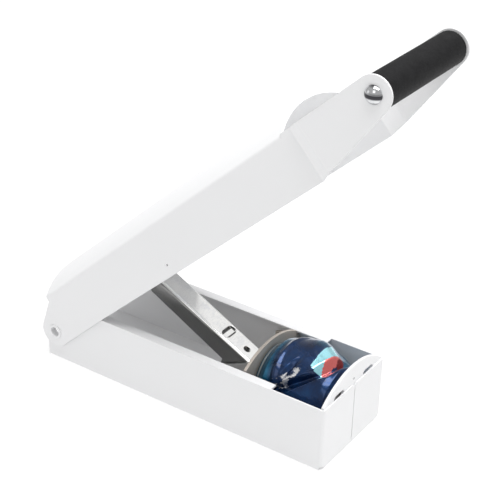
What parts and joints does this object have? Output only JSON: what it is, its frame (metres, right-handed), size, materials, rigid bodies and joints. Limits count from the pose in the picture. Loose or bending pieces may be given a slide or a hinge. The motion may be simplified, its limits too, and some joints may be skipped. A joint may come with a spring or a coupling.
{
  "type": "can crusher",
  "caption": "Hand-lever can crusher: folded channel base with an arched anvil plate, sliding ram, toggle link and arched lever with a foam-gripped handle.",
  "frame": {"origin": "middle of the base's underside, at the centre of the wall-mounting holes", "axes": "+X along the base towards the anvil and away from the lever pivot, +Y across, +Z out of the open side of the base, square to its back"},
  "size_m": [0.3198, 0.118, 0.3294],
  "materials": {
    "white_enamel": "satin white powder coat",
    "white_rivet": "satin white over steel",
    "washer_plastic": "natural nylon",
    "zinc_plate": "bright zinc plated",
    "bright_pin": "plain bright steel",
    "spring_steel": "oiled spring steel",
    "black_foam": "matt black foam",
    "bright_cap": "polished"
  },
  "bodies": {
    "base": {"base_channel": "white_enamel", "anvil_plate": "white_enamel", "pivot_eyelet_left": "white_rivet", "pivot_eyelet_right": "white_rivet", "pivot_washer_left": "washer_plastic", "pivot_washer_right": "washer_plastic"},
    "lever": {"lever_channel": "white_enamel", "link_bracket": "zinc_plate", "upper_link_pin": "bright_pin", "upper_pin_clip": "spring_steel", "handle_rod": "bright_pin", "handle_grip": "black_foam", "handle_cap_left": "bright_cap", "handle_cap_right": "bright_cap"},
    "link": {"link_channel": "zinc_plate"},
    "ram": {"ram_plate": "zinc_plate", "ram_clevis": "zinc_plate", "ram_rivets": "bright_pin", "lower_link_pin": "bright_pin", "lower_pin_clip": "spring_steel"}
  },
  "joints": [
    {"name": "lever_pivot", "type": "hinge", "parent": "base", "child": "lever", "pos_m": [-0.126, 0, 0.028], "axis": [0, -1, 0], "range_deg": [-38, 42.4]},
    {"name": "link_pivot", "type": "hinge", "parent": "lever", "child": "link", "pos_m": [-0.05011, 0, 0.08729], "axis": [0, -1, 0], "range_deg": [-84.8, 76]},
    {"name": "ram_pivot", "type": "hinge", "parent": "link", "child": "ram", "pos_m": [0.02577, 0, 0.028], "axis": [0, -1, 0], "range_deg": [-38, 42.4]}
  ],
  "couplings": [
    {"joint": "link_pivot", "follows": "lever_pivot", "ratio": -2},
    {"joint": "ram_pivot", "follows": "lever_pivot", "ratio": 1}
  ]
}
